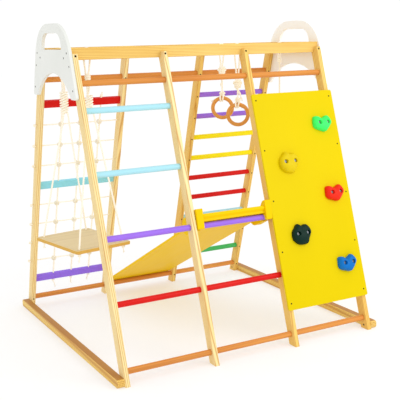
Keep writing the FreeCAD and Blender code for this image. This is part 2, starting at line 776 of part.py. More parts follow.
# climbing rope: straight down from the last cross rung, with knots to hold
climb_x = cross_x[-1]
half_knot = climb_knot_height / 2
stops = list(climb_knot_levels) + [climb_end]
tubes = [eye(climb_x, 0, climb_eye_end, strand_apart, "climbing eye")]
for high, low in zip(stops, stops[1:]):
    tubes.append(rod(Vec(climb_x, 0, high - half_knot), Vec(climb_x, 0, low + half_knot), rope_r))
save("climbing_rope", tubes)
save("climbing_rope_knots", [barrel(Vec(climb_x, 0, z), climb_knot_dia / 2, climb_knot_height)
                             for z in stops])


# ---- slide: hooks over the front rung, its tail lies on the back bottom rung ---------
slide_half = bay_pitch / 2 - post_width / 2
slide_right_gap = panel_overhang + slide_panel_clear
slide_shift = (slide_clear - slide_right_gap) / 2
cheek_out = slide_half - (slide_clear + slide_right_gap) / 2
hook_z = front_z[2]
hook_at = Vec(slide_shift, -middle(hook_z), hook_z)
tail_at = Vec(slide_shift, middle(bottom_rung_z), bottom_rung_z)
slide_way = tail_at - hook_at
slide_angle = atan2(-slide_way.z, slide_way.y)
cheek_in = cheek_out - cheek_thick
cheek_end = cheek_back + cheek_round
board_low = rung_r + slide_rest_gap
board_high = board_low + slide_board_thick
bar_high = board_high + bar_height


def on_slide(shape):
    """From slide coordinates (x, down the slide, square to it) about the carrying rung."""
    turn = FreeCAD.Rotation(Vec(1, 0, 0), -degrees(slide_angle))
    shape.Placement = FreeCAD.Placement(hook_at, turn).multiply(shape.Placement)
    return shape


def cheek(side):
    """A side cheek: round at the back, with a leaning finger in front of the rung's slot."""
    x0, x1 = sorted((side * cheek_in, side * cheek_out))
    slot_r = rung_r + hook_gap
    low = cheek_rise - cheek_round
    lean_in = tan(radians(finger_lean_deg))
    front = -(slot_r + finger_thick)
    tip_y = front - finger_top * lean_in
    outline = [(front + finger_drop * lean_in, -finger_drop), (tip_y, finger_top),
               (tip_y + finger_top_width, finger_top), cheek_valley,
               (cheek_back, cheek_rise + cheek_round), (cheek_back, low), (-slot_r, low),
               (-slot_r, -finger_drop)]
    body = plate_yz(outline, x0, x1)
    centre = Vec(x0, cheek_back, cheek_rise)
    body = body.fuse(Part.makeCylinder(cheek_round, cheek_thick, centre, Vec(1, 0, 0)))
    slot = Part.makeCylinder(slot_r, cheek_thick, Vec(x0, 0, 0), Vec(1, 0, 0))
    mouth = plate_yz([(-slot_r, 0), (slot_r, 0), (slot_r, -rung_dia), (-slot_r, -rung_dia)],
                     x0, x1)
    body = body.removeSplitter().cut(slot.fuse(mouth))
    tip = [e for e in body.Edges if along(Vec(1, 0, 0), 0)(e)
           and min(abs(e.Vertexes[0].Z + finger_drop), abs(e.Vertexes[0].Z - finger_top)) < 0.1]
    return body.makeFillet(finger_round, tip)


def cheek_screws(side):
    face = side * cheek_out
    bar_middle = bar_depth / 2 - slide_nose
    board_middle = (board_low + board_high) / 2
    places = [(bar_middle, board_high + bar_screw_inset), (bar_middle, bar_high - bar_screw_inset),
              (cheek_back - cheek_screw_off, board_middle),
              (cheek_back + cheek_screw_off, board_middle)]
    result = []
    for down, up in places:
        neck = Vec(face - side * pin_head_height, down, up)
        head = rod(neck, Vec(face, down, up), pin_head_dia / 2)
        tip = Vec(side * (cheek_in - cheek_screw_reach), down, up)
        result.append(head.fuse(rod(tip, neck, pin_dia / 2)))
    return result


slide_screws = cheek_screws(-1) + cheek_screws(1)
board_nose = bar_bevel[0] - slide_nose
board = box(-cheek_in, cheek_in, board_nose, cheek_end + slide_clear, board_low, board_high)
wide = slide_half - slide_board_margin
board_end = slide_way.Length + slide_tail
board = board.fuse(box(-wide, wide, cheek_end + slide_clear, board_end, board_low, board_high))
board = board.removeSplitter()
bar = plate_yz([(-slide_nose + bar_depth, board_high), (-slide_nose + bar_bevel[0], board_high),
                (-slide_nose, board_high + bar_bevel[1]), (-slide_nose, bar_high),
                (-slide_nose + bar_depth, bar_high)], -cheek_in, cheek_in)
bar = ease(bar, edge_round, along(Vec(1, 0, 0), 0))
save("slide_board", [on_slide(cut_all(board, slide_screws))])
save("slide_crossbar", [on_slide(cut_all(bar, slide_screws))])
save("slide_cheeks", [on_slide(cut_all(cheek(side), slide_screws)) for side in (-1, 1)])
save("slide_screws", [on_slide(s) for s in slide_screws])
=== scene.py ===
import math

import bmesh
import bpy
import numpy as np
from mathutils import Matrix, Vector


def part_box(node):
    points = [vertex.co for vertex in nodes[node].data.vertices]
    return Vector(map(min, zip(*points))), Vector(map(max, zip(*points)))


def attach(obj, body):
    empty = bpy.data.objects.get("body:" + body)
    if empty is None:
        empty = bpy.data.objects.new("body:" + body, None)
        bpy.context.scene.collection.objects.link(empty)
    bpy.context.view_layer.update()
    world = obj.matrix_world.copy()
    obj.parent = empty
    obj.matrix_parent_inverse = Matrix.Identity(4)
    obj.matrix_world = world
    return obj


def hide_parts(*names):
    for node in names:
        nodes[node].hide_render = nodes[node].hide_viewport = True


# Indoor wooden monkey bars. Metres, +Z up, the front is -Y, the swing near -X.

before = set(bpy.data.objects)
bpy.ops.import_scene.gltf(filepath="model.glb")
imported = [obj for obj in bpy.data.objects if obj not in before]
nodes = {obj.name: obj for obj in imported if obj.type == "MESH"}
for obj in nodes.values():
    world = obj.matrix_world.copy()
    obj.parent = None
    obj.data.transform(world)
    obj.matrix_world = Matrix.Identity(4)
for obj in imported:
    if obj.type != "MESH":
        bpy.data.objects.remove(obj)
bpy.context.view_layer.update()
mm = 0.001
turnAll = 2 * math.pi
print("frame loaded:", len(nodes), "nodes")

# sizes that the loose pieces share with the timber frame
sizes = {
    "leanDeg": 17.34,
    "footY": 608.0,           # outer faces of the feet, from the middle
    "postDepth": 46.6,
    "crossZ": 1268.0,         # centres of the cross rungs
    "rungRadius": 12.5,
    "eyeRadius": 16.8,        # a rope's centreline over a cross rung
    "swingX": -526.0,
    "ringX": 263.0,
    "climbX": 526.0,
    "strandApart": 4.3,
    "windPitch": 8.2,         # from turn to turn of a wound rope
    "coilPitch": 11.2,        # in the swing's coils, where gaps show
}
lean = math.radians(sizes["leanDeg"])
beamLow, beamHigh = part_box("front_ridge_beam")
middleX = (beamLow.x + beamHigh.x) / 2 / mm      # the frame stands a little off the origin


# ---- camera and stage
camera = {
    "place": (-1.7654, -3.3737, 1.3174),
    "lens": 74.6,
    "yaw": 0.50356,
    "down": 0.19355,
    "roll": -0.02223,
}


def setCamera():
    data = bpy.data.cameras.new("camera")
    data.lens = camera["lens"]
    data.sensor_width = 36.0
    data.clip_end = 60.0
    yaw, down, roll = camera["yaw"], camera["down"], camera["roll"]
    ahead = Vector((math.sin(yaw) * math.cos(down), math.cos(yaw) * math.cos(down), -math.sin(down)))
    right = Vector((math.cos(yaw), -math.sin(yaw), 0))
    up = right.cross(ahead)
    side = right * math.cos(roll) + up * math.sin(roll)
    top = up * math.cos(roll) - right * math.sin(roll)
    turned = Matrix((side, top, -ahead)).transposed().to_4x4()
    shown = bpy.data.objects.new("camera", data)
    shown.matrix_world = Matrix.Translation(camera["place"]) @ turned
    bpy.context.scene.collection.objects.link(shown)
    bpy.context.scene.camera = shown


studio = {
    "skyStrength": 1.02,
    "keyWatts": 21.0,
    "keyPlace": (1.3, -2.5, 1.9),
    "keyAim": (0.0, 0.0, 0.75),
    "keySide": 1.5,           # a square soft box
    "floorHalf": 30.0,
}


def setLight():
    world = bpy.data.worlds.new("studio")
    bpy.context.scene.world = world
    world.use_nodes = True
    sky = world.node_tree.nodes["Background"]
    sky.inputs["Color"].default_value = (1.0, 1.0, 1.0, 1.0)
    sky.inputs["Strength"].default_value = studio["skyStrength"]
    key = bpy.data.lights.new("key", "AREA")
    key.energy = studio["keyWatts"]
    key.size = studio["keySide"]
    lamp = bpy.data.objects.new("key", key)
    lamp.location = studio["keyPlace"]
    away = Vector(studio["keyPlace"]) - Vector(studio["keyAim"])
    lamp.rotation_euler = away.to_track_quat("Z", "Y").to_euler()
    lamp.visible_camera = False
    bpy.context.scene.collection.objects.link(lamp)
    bpy.context.scene.view_settings.view_transform = "Standard"


setCamera()
setLight()
print("camera and light set")


# ---- surfaces
def gridQuads(points, start):
    # the quads of a grid whose first point has this number
    rows, columns = points.shape[:2]
    index = start + np.arange(rows * columns).reshape(rows, columns)
    quads = np.stack([index[:-1, :-1], index[:-1, 1:], index[1:, 1:], index[1:, :-1]], axis=-1)
    return quads.reshape(-1, 4)


def surface(name, points, uv=None, body=None):
    # points[row, column, xyz] is a closed surface on a grid, its last row and column on the first
    # ones or on a pole; uv[row, column, 2] goes with it
    return faces(name, points.reshape(-1, 3), gridQuads(points, 0),
                 None if uv is None else uv.reshape(-1, 2), body)


def faces(name, points, quads, uv, body):
    mesh = bpy.data.meshes.new(name)
    mesh.vertices.add(len(points))
    mesh.vertices.foreach_set("co", np.asarray(points, np.float32).ravel())
    mesh.loops.add(quads.size)
    mesh.loops.foreach_set("vertex_index", quads.astype(np.int32).ravel())
    mesh.polygons.add(len(quads))
    mesh.polygons.foreach_set("loop_start", np.arange(0, quads.size, 4, dtype=np.int32))
    mesh.update(calc_edges=True)
    if uv is not None:
        layer = mesh.uv_layers.new(name="UVMap")
        layer.data.foreach_set("uv", np.asarray(uv, np.float32)[quads.ravel()].ravel())
    merged = bmesh.new()
    merged.from_mesh(mesh)
    bmesh.ops.remove_doubles(merged, verts=merged.verts, dist=2e-6)
    merged.to_mesh(mesh)
    merged.free()
    mesh.polygons.foreach_set("use_smooth", np.ones(len(mesh.polygons), bool))
    mesh.update()
    made = bpy.data.objects.new(name, mesh)
    bpy.context.scene.collection.objects.link(made)
    if body:
        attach(made, body)
    return made


def joined(name, grids, body):
    # several closed grids as one piece
    points, quads, uvs, start = [], [], [], 0
    for grid, uv in grids:
        quads.append(gridQuads(grid, start))
        points.append(grid.reshape(-1, 3))
        uvs.append(uv.reshape(-1, 2))
        start += len(points[-1])
    return faces(name, np.concatenate(points), np.concatenate(quads), np.concatenate(uvs), body)


# ---- ropes
rope = {
    "radius": 4.0,
    "strands": 3,
    "lay": 26.0,              # length of one whole twist
    "groove": 0.18,           # depth of the grooves, as a share of the radius
    "around": 18,             # points round the rope
    "step": 1.5,              # between its rings
    "knotStep": 1.6,
}


def routeLine(points, step):
    # even points, step apart, on one smooth spline whose control points are the route's
    points = np.asarray(points, float)
    curve = bpy.data.curves.new("route", "CURVE")
    curve.dimensions = "3D"
    curve.resolution_u = 16
    spline = curve.splines.new("NURBS")
    spline.points.add(len(points) - 1)
    spline.points.foreach_set("co", np.column_stack([points, np.ones(len(points))]).ravel())
    spline.order_u = 3
    spline.use_endpoint_u = True
    holder = bpy.data.objects.new("route", curve)
    mesh = bpy.data.meshes.new_from_object(holder)
    line = np.empty(len(mesh.vertices) * 3)
    mesh.vertices.foreach_get("co", line)
    line = line.reshape(-1, 3)
    bpy.data.meshes.remove(mesh)
    bpy.data.objects.remove(holder)
    bpy.data.curves.remove(curve)
    far = np.concatenate([[0], np.cumsum(np.linalg.norm(np.diff(line, axis=0), axis=1))])
    at = np.linspace(0, far[-1], max(3, int(far[-1] / step) + 1))
    return np.stack([np.interp(at, far, line[:, k]) for k in range(3)], axis=1), at


def carried(line):
    # unit tangents of a line, and two side vectors carried along it without twist
    tangent = np.gradient(line, axis=0)
    tangent /= np.linalg.norm(tangent, axis=1)[:, None]
    side = np.empty_like(tangent)
    first = np.eye(3)[np.argmin(np.abs(tangent[0]))]
    side[0] = np.cross(tangent[0], first)
    side[0] /= np.linalg.norm(side[0])
    for i in range(1, len(line)):
        moved = side[i - 1] - tangent[i] * (side[i - 1] @ tangent[i])
        side[i] = moved / np.linalg.norm(moved)
    return tangent, side, np.cross(tangent, side)


def ropeGrid(line, at, radius):
    # radius * (1 - groove + groove * |cos(1.5 * (angle - twist * length))|): strands laid together
    angle = np.linspace(0, turnAll, rope["around"] + 1)
    twist = turnAll * at[:, None] / (rope["lay"] * mm * radius / (rope["radius"] * mm))
    wave = np.abs(np.cos(rope["strands"] / 2 * (angle[None] - twist)))
    reach = radius * (1 - rope["groove"] + rope["groove"] * wave ** 0.8)
    tangent, side, over = carried(line)
    outward = np.cos(angle)[None, :, None] * side[:, None] + np.sin(angle)[None, :, None] * over[:, None]
    ring = line[:, None] + reach[..., None] * outward
    caps = [np.broadcast_to(end, (1, *ring.shape[1:])) for end in (line[0], line[-1])]
    ring = np.concatenate([caps[0], ring, caps[1]])
    far = np.concatenate([at[:1], at, at[-1:]]) * rope["radius"] * mm / radius
    uv = np.stack(np.broadcast_arrays(angle[None] / turnAll, far[:, None]), axis=-1)
    return ring, uv


def ropeAlong(points, radius=rope["radius"], step=rope["step"]):
    line, at = routeLine(np.asarray(points, float) * mm, step * mm)
    return ropeGrid(line, at, radius * mm), line


def winding(x, y, low, high, radius, start, slant, swell, upwards=True, pitch=sizes["windPitch"]):
    # control points of turns round an upright axis, 12 to a turn, each turn tilted by slant:
    # radius * (1 + swell * sin(pi * share))
    turns = (high - low) / pitch
    share = np.linspace(0, 1, max(6, int(12 * turns)) + 1)
    angle = start + turnAll * turns * share
    reach = radius * (1 + swell * np.sin(math.pi * share))
    z = low + (high - low) * share if upwards else high - (high - low) * share
    return list(np.column_stack([x + reach * np.cos(angle), y + reach * np.sin(angle),
                                 z + slant * np.cos(angle + 0.6)]))


def overRung(x, y, low, apart):
    # up from x + apart at height low, round the rung, down to x - apart: corners outside the arc,
    # whose sides touch it at their middles
    radius, z = sizes["eyeRadius"], sizes["crossZ"]
    reach = math.hypot(z - low, apart)
    tilt = math.atan2(z - low, apart) - math.acos(radius / reach)    # the run's lean
    span = math.pi + 2 * tilt
    quarter = span / 4
    corner = radius / math.cos(quarter / 2)
    angles = [-tilt + quarter * (k + 0.5) for k in range(4)]
    back = radius * math.tan(quarter / 2)
    run = np.array([math.sin(tilt), math.cos(tilt)])
    touch = radius * np.array([math.cos(tilt), -math.sin(tilt)])
    before = touch - back * run
    flat = [before] + [corner * np.array([math.cos(a), math.sin(a)]) for a in angles]
    flat.append(np.array([-before[0], before[1]]))
    return [(x + p[0], y, z + p[1]) for p in flat]


def overhand(centre, radius, height, tube, turned=0.0, slope=None):
    # a knot: (sin t + 2 sin 2t, cos t - 2 cos 2t, -sin 3t), scaled to a radius and a height
    t = np.linspace(0, turnAll, 25)[:-1]
    flat = np.column_stack([np.sin(t) + 2 * np.sin(2 * t), -np.sin(3 * t),
                            np.cos(t) - 2 * np.cos(2 * t)])
    scale = np.array([(radius - tube) / 3.0, (radius - tube) * 0.75, (height / 2 - tube) / 3.0])
    flat = flat * scale
    c, s = math.cos(turned), math.sin(turned)
    flat = flat @ np.array([[c, s, 0], [-s, c, 0], [0, 0, 1]])
    if slope is not None:
        flat = flat @ slope
    points = flat + np.asarray(centre)
    closing = np.concatenate([points, points[:2]])
    return ropeAlong(closing, tube, rope["knotStep"])[0]


def tassel(start, end, radius, seed):
    # a cut end: the strands open towards it, each with its own bend
    start, end = np.asarray(start, float), np.asarray(end, float)
    chance = np.random.default_rng(seed)
    grids = []
    for k in range(5):
        aim = end + chance.normal(0, radius * 0.9, 3)
        half = (start + end) / 2 + chance.normal(0, radius * 0.25, 3)
        grids.append(ropeAlong([start, half, aim], radius * 0.42, rope["knotStep"])[0])
    return grids


ropePieces = []      # every rope piece, painted later


def declareRope(made, pieces):
    ropePieces.extend([made, *pieces])


# swing ropes: each one goes up from the seat, round itself in the coil, over the rung and down
swing = {
    "halfSpacing": 149.0,
    "seatTop": 455.0,
    "seatThick": 15.0,
    "holeX": 110.0,
    "holeY": 152.5,
    "seatTurnDeg": 10.0,
    "knot": (1151.0, 1183.0),
    "coils": {"Front": (-1, 1036.0, 1098.0, 0.03), "Back": (1, 992.0, 1104.0, 0.10)},
    "coilRadius": 15.0,
    "coilSlant": 4.5,
    "coilEnd": 7.0,           # the winding starts and stops this far inside the coil
    "spread": 0.08,           # share of a strand's run where it bends towards its hole
    "entry": 7.5,             # from the knot's middle, where a strand leaves for the rung
    "knotRadius": 9.0,
    "seatKnot": 10.0,         # its middle, under the seat
    "seatKnotSize": (9.6, 19.0, 3.1),    # radius, height, rope radius
}


def seatHole(i, j):
    turn = math.radians(swing["seatTurnDeg"])
    x, y = i * swing["holeX"], j * swing["holeY"]
    return (middleX + sizes["swingX"] + x * math.cos(turn) - y * math.sin(turn),
            x * math.sin(turn) + y * math.cos(turn))


def swingRoute(j, coilLow, coilHigh, swell):
    x, y = middleX + sizes["swingX"], j * swing["halfSpacing"]
    knotLow, knotHigh = swing["knot"]
    apart, entry, inset = sizes["strandApart"], swing["entry"], swing["coilEnd"]
    right, left = seatHole(1, j), seatHole(-1, j)
    under = swing["seatTop"] - swing["seatThick"] - swing["seatKnot"]
    top = swing["seatTop"]
    foot = np.array([x + 14, y, coilLow - 2])
    near = foot + swing["spread"] * (np.array([*right, top]) - foot)
    route = [(*right, under), (*right, under + 6), (*right, top + 6), near]
    route += winding(x, y, coilLow + inset, coilHigh - inset, swing["coilRadius"], 0.0,
                     swing["coilSlant"], swell, pitch=sizes["coilPitch"])
    route += [(x + apart, y, coilHigh + 10), (x + apart, y, knotLow - 10), (x + 1, y, knotLow + 4),
              (x + 1, y, knotHigh - 6), (x + entry, y, knotHigh + 5)]
    route += overRung(x, y, knotHigh, entry)
    route.append((x - entry, y, knotHigh + 7))
    route += winding(x, y, knotLow + 4, knotHigh - 3, swing["knotRadius"], math.pi, 0.8, 0.05, False)
    foot = np.array([x - apart, y, coilLow - 2])
    near = foot + swing["spread"] * (np.array([*left, top]) - foot)
    route += [(x - apart, y, knotLow - 12), (x - apart, y, coilHigh), (x - apart, y, coilLow), near,
              (*left, top + 6), (*left, under + 6), (*left, under)]
    return route


def swingRope(end, j, coilLow, coilHigh, swell):
    (grid, uv), line = ropeAlong(swingRoute(j, coilLow, coilHigh, swell))
    made = surface("swingRope" + end, grid, uv, "swing")
    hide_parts("swing_ropes", "swing_coils")
    knots = []
    for i, side in ((1, "Right"), (-1, "Left")):
        hole = seatHole(i, j)
        under = swing["seatTop"] - swing["seatThick"]
        low = under - swing["seatKnot"]
        grids = [overhand((*hole, low - 0.4), *swing["seatKnotSize"], turned=0.7 * i + j)]
        aim = (hole[0] + 3 * i, hole[1] + 2 * j, low - 24)
        grids += tassel((*hole, low - 6), aim, 3.6, 11 + i + 3 * j)
        knot = joined("seatKnot" + end + side, grids, "swing")
        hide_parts("swing_seat_knots")
        knots.append(knot)
    declareRope(made, knots)


for end, (j, coilLow, coilHigh, swell) in swing["coils"].items():
    swingRope(end, j, coilLow, coilHigh, swell)


# ring ropes: twice round the ring, up to the knot, over the rung and round the knot
rings = {
    "turnDeg": -30.0,
    "meanRadius": 47.0,
    "section": 9.0,
    "gap": 0.9,
    "wraps": 2.25,            # turns of rope round the ring
    "wrapStart": -0.36,       # radians along the ring, from its top
    "wrapSpread": 0.62,
    "knotRadius": 12.5,
    "lowKnot": (16.0, 30.0, 4.4, 0.6),    # over the ring: radius, height, rope radius, turn
    "highKnot": (22.0, 46.0, 4.6, 0.4),
    # y and z of the ring's middle, foot and top of the upper knot, side of the loose ends
    "places": {"Back": (104.0, 980.0, 1135.0, 1180.0, 1), "Front": (-38.0, 957.0, 1076.0, 1124.0, -1)},
}
ringTurn = math.radians(rings["turnDeg"])
ringSide = np.array([math.cos(ringTurn), math.sin(ringTurn), 0])
ringFace = np.array([-ringSide[1], ringSide[0], 0])


def ringRoute(y, z, knotLow, knotHigh):
    x = middleX + sizes["ringX"]
    centre = np.array([x, y, z])
    loop = rings["section"] + rings["gap"] + rope["radius"]
    share = np.linspace(0, 1, 27)
    angle = math.pi * 0.5 + turnAll * rings["wraps"] * share         # round the ring's section
    place = rings["wrapStart"] + rings["wrapSpread"] * share         # along the ring
    out = ringSide * np.sin(place)[:, None] + np.array([0, 0, 1]) * np.cos(place)[:, None]
    wraps = centre + out * (rings["meanRadius"] + loop * np.cos(angle))[:, None]
    wraps = wraps + ringFace * (loop * np.sin(angle))[:, None]
    top = z + rings["meanRadius"] + loop
    apart = sizes["strandApart"]
    route = list(wraps[:-2])
    route += [(x, y, top + 6), (x, y, top + 30), (x + 0.5, y, knotLow + 4), (x + 0.5, y, knotHigh - 5)]
    route += [(x + apart, y, knotHigh + 6)]
    route += overRung(x, y, knotHigh, apart)
    route.append((x - apart, y, knotHigh + 9))
    route += winding(x, y, knotLow + 5, knotHigh - 4, rings["knotRadius"], math.pi, 2.2, 0.06, False)
    return route


def ringRope(end, y, z, knotLow, knotHigh, side):
    route = ringRoute(y, z, knotLow, knotHigh)
    (grid, uv), line = ropeAlong(route)
    body = "ring_rope_" + end.lower()
    made = surface("ringRope" + end, grid, uv, body)
    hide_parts("ring_rope_" + end.lower(), "ring_knot_" + end.lower())
    x = middleX + sizes["ringX"]
    last = line[-1] / mm
    tail = [last, last + (-14 * side, -5, -14), last + (-20 * side, -6, -34)]
    grids = [ropeAlong(tail, 4.4)[0]] + tassel(tail[-1], tail[-1] + (-6 * side, -2, -20), 5.0, 31)
    top = z + rings["meanRadius"] + rings["section"] + 2 * rope["radius"]
    grids.append(overhand((x, y, top + 6), *rings["lowKnot"]))
    grids.append(overhand((x, y, (knotLow + knotHigh) / 2 + 4), *rings["highKnot"]))
    first = line[0] / mm
    aim = -ringSide * side * 26 + np.array([0, 0, -8])
    tail = [first, first + aim * 0.5 + (0, 0, 6), first + aim]
    grids += [ropeAlong(tail, 3.8)[0]] + tassel(tail[-1], tail[-1] + aim * 0.4, 3.4, 37)
    tails = joined("ringRopeEnds" + end, grids, body)
    declareRope(made, [tails])


for end, place in rings["places"].items():
    ringRope(end, *place)


# climbing rope: over the last cross rung, round itself under it, then straight down
climb = {
    "knots": (900.0, 700.0, 500.0),
    "eyeKnot": (1186.0, 1215.0),
    "end": 330.0,
    "knotRadius": 12.0,
    "knotHeight": 30.0,
}


def climbingRope():
    x = middleX + sizes["climbX"]
    low, high = climb["eyeKnot"]
    apart = sizes["strandApart"]
    route = [(x, 0, climb["end"]), (x, 0, climb["end"] + 60), (x, 0, low - 60), (x, 0, low + 4),
             (x, 0, high - 6), (x + apart, 0, high + 5)]
    route += overRung(x, 0, high, apart)
    route.append((x - apart, 0, high + 7))
    route += winding(x, 0, low + 4, high - 3, 8.0, math.pi, 0.8, 0.05, False)
    (grid, uv), line = ropeAlong(route)
    made = surface("climbingRope", grid, uv, "climbing_rope")
    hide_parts("climbing_rope")
    grids = [overhand((x, 0, z), climb["knotRadius"], climb["knotHeight"], 4.0, turned=k * 0.9)
             for k, z in enumerate((*climb["knots"], climb["end"]))]
    grids += tassel((x, 0, climb["end"] - 8), (x + 2, 1, climb["end"] - 14.5), 3.0, 5)
    knots = joined("climbingKnots", grids, "climbing_rope")
    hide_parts("climbing_rope_knots")
    declareRope(made, [knots])


climbingRope()


# ---- climbing net between the first two back posts
net = {
    "boards": (1037.0, 645.0, 153.0),
    "boardHeight": 34.0,
    "rows": (3, 4),
    "columns": 3,
    "left": -588.4,           # between the posts
    "right": -210.5,
    "postWidth": 21.6,
    "socket": 14.0,
    "uprightRadius": 4.0,
    "rowRadius": 3.0,
    "rowOut": 7.2,
    "knotRadius": 8.5,
    "jointRadius": 11.8,
    "jointThick": 10.6,
    "grooveWidth": 0.13,      # share of a joint's radius
    "grooveDepth": 1.5,
}
netDepth = -sizes["postDepth"] / 2
netX = middleX + np.linspace(net["left"], net["right"], net["columns"] + 2)[1:-1]


def backPlane(x, up, out):
    # slope coordinates of the back of the frame: up the slope, and outwards from the posts' faces
    return np.array([x, sizes["footY"] - up * math.sin(lean) + out * math.cos(lean),
                     up * math.cos(lean) + out * math.sin(lean)])


def upSlope(z, out):
    return (z - out * math.sin(lean)) / math.cos(lean)


def netLevels():
    levels = []
    for high, low, count in zip(net["boards"], net["boards"][1:], net["rows"]):
        levels += list(np.linspace(high, low, count + 2)[1:-1])
    return levels


def netJoint(centre, x, up, out):
    # a flattened ball, |a/r|^2.5 + |b/r|^2.5 + |c/t|^2.5 = 1, with a groove along each rope
    polar = np.linspace(0, math.pi, 19)[:, None]
    angle = np.linspace(0, turnAll, 33)[None]
    a = np.sin(polar) * np.cos(angle)
    b = np.sin(polar) * np.sin(angle)
    c = np.cos(polar) + 0 * angle
    power = 2.5
    reach = (np.abs(a / net["jointRadius"]) ** power + np.abs(b / net["jointRadius"]) ** power
             + np.abs(c / net["jointThick"]) ** power) ** (-1 / power)
    groove = np.exp(-(np.minimum(np.abs(a), np.abs(b)) / net["grooveWidth"]) ** 2)
    groove = groove * np.clip(np.abs(c) * 3 - 0.6, 0, 1)
    reach = reach - net["grooveDepth"] * groove
    grid = centre + (reach * a)[..., None] * x + (reach * b)[..., None] * up
    grid = grid + (reach * c)[..., None] * out
    uv = np.stack(np.broadcast_arrays(angle / turnAll, polar / math.pi), axis=-1)
    return grid[:, ::-1] * mm, uv[:, ::-1]


def makeNet():
    up = np.array([0, -math.sin(lean), math.cos(lean)])
    out = np.array([0, math.cos(lean), math.sin(lean)])
    top = upSlope(net["boards"][0], netDepth) + net["boardHeight"] / 2
    foot = upSlope(net["boards"][-1], netDepth) - net["boardHeight"] / 2
    slope = np.array([[1, 0, 0], out, up])
    uprights, rows, joints, knots = [], [], [], []
    for k, x in enumerate(netX):
        ends = [backPlane(x, h, netDepth) for h in (foot - 2, (foot + top) / 2, top + 2)]
        uprights.append(ropeAlong(ends, net["uprightRadius"])[0])
        r = net["knotRadius"]
        knots.append(overhand(backPlane(x, top + 0.4 + r, netDepth), r, 2 * r, 3.0, 0.8 * k, slope))
        low = backPlane(x, foot - 0.4 - r, netDepth)
        knots.append(overhand(low, r, 2 * r, 3.0, 1.1 * k, slope))
        aim = low + (6 - 7 * k, -3, -24 + 4 * k)
        knots.append(ropeAlong([low + (0, 0, -5), (low + aim) / 2 + (1, 0, 2), aim], 3.4)[0])
        knots += tassel(aim, aim + (3 - 3 * k, -1, -9), 3.4, 50 + k)
        head = backPlane(x, top + 2 * r, netDepth)
        aim = head + (9 - 4 * k, -6, 7)
        knots.append(ropeAlong([head + (0, 0, -4), head + (3, -2, 5), aim], 3.2)[0])
    for level in netLevels():
        rowUp = upSlope(level, netDepth + net["rowOut"])
        outAt = netDepth + net["rowOut"]
        left = middleX + net["left"] - net["postWidth"] - 1
        right = middleX + net["right"] + net["socket"] - 1
        line = [backPlane(left, rowUp, outAt), backPlane((left + right) / 2, rowUp, outAt),
                backPlane(right, rowUp, outAt)]
        rows.append(ropeAlong(line, net["rowRadius"], step=1.4)[0])
        r = net["knotRadius"]
        turned = np.array([[0, 1, 0], [0, 0, 1], [1, 0, 0]]) @ slope
        knots.append(overhand(backPlane(left + 0.7 - r, rowUp, outAt), r, 2 * r, 2.8, level, turned))
        for x in netX:
            joints.append(netJoint(backPlane(x, rowUp, netDepth + net["rowOut"] / 2),
                                   np.array([1.0, 0, 0]), up, out))
    pieces = [("netUprights", uprights, "net_uprights"), ("netRows", rows, "net_rows"),
              ("netKnots", knots, "net_knots")]
    for name, grids, node in pieces:
        made = joined(name, grids, "frame")
        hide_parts(node)
        ropePieces.append(made)
    made = joined("netJoints", joints, "frame")
    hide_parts("net_joints")
    return made


netJoints = makeNet()
print("net made")


# ---- gym rings
def makeRing(end, y, z):
    # a torus: (mean + section * cos b) at angle a round the ring, section * sin b across it
    a = np.linspace(0, turnAll, 145)[:, None]
    b = np.linspace(0, turnAll, 49)[None]
    reach = rings["meanRadius"] + rings["section"] * np.cos(b)
    centre = np.array([middleX + sizes["ringX"], y, z])
    grid = centre + (reach * np.sin(a))[..., None] * ringSide
    grid = grid + (reach * np.cos(a))[..., None] * np.array([0, 0, 1])
    grid = grid + (rings["section"] * np.sin(b) + 0 * a)[..., None] * ringFace
    uv = np.stack(np.broadcast_arrays(a / turnAll, b / turnAll), axis=-1)
    made = surface("gymRing" + end, grid * mm, uv, "ring_" + end.lower())
    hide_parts("gym_ring_" + end.lower())
    return made


ringPieces = [makeRing(end, place[0], place[1]) for end, place in rings["places"].items()]
print("rings made")


# ---- climbing holds
holds = {
    "panelThick": 9.0,
    "line": 419.5,            # the centre line between the two rows
    "sideStep": 109.0,
    "first": 315.0,           # up the slope
    "pitch": 161.0,
    "height": 32.0,
    "floor": 12.0,            # of a bolt's recess
    "recess": 8.5,
    "dish": 0.17,             # its depth, as a share of the height
    "boltRise": 4.0,
    "boltArm": {"heart": 23.0, "flower": 25.0},
    "heart": [(49, 6), (40, 27), (26, 37), (10, 30), (-8, 22), (-21, 32), (-34, 35), (-44, 31),
              (-47, 20), (-49, -8), (-40, -21), (-18, -30), (8, -37), (20, -31), (37, -13)],
    "flower": [(49, 8), (42, 28), (25, 42), (1, 38), (-15, 47), (-24, 42), (-33, 30), (-44, 17),
               (-48, -2), (-45, -20), (-32, -35), (-13, -45), (15, -46), (26, -40), (32, -26),
               (41, -11)],
    "each": [("blue", 1, "heart", 2), ("dark_green", -1, "flower", 0), ("red", 1, "heart", 0),
             ("yellow", -1, "flower", -4), ("light_green", 1, "heart", -2)],
}


def holdOutline(kind, columns):
    # a smooth closed line through the shape's points
    p = np.array(holds[kind], float)
    t = np.linspace(0, len(p), columns)
    i = np.floor(t).astype(int) % len(p)
    f = (t - np.floor(t))[:, None]
    before, here, after, later = (p[(i + k) % len(p)] for k in (-1, 0, 1, 2))
    return 0.5 * (2 * here + (after - before) * f + (2 * before - 5 * here + 4 * after - later) * f ** 2
                  + (3 * here - before - 3 * after + later) * f ** 3)


def frontPlane(grid):
    # slope coordinates (x, up, out) of the front of the frame
    x, up, out = grid[..., 0], grid[..., 1], grid[..., 2]
    return np.stack([x, -sizes["footY"] + up * math.sin(lean) - out * math.cos(lean),
                     up * math.cos(lean) + out * math.sin(lean)], axis=-1)


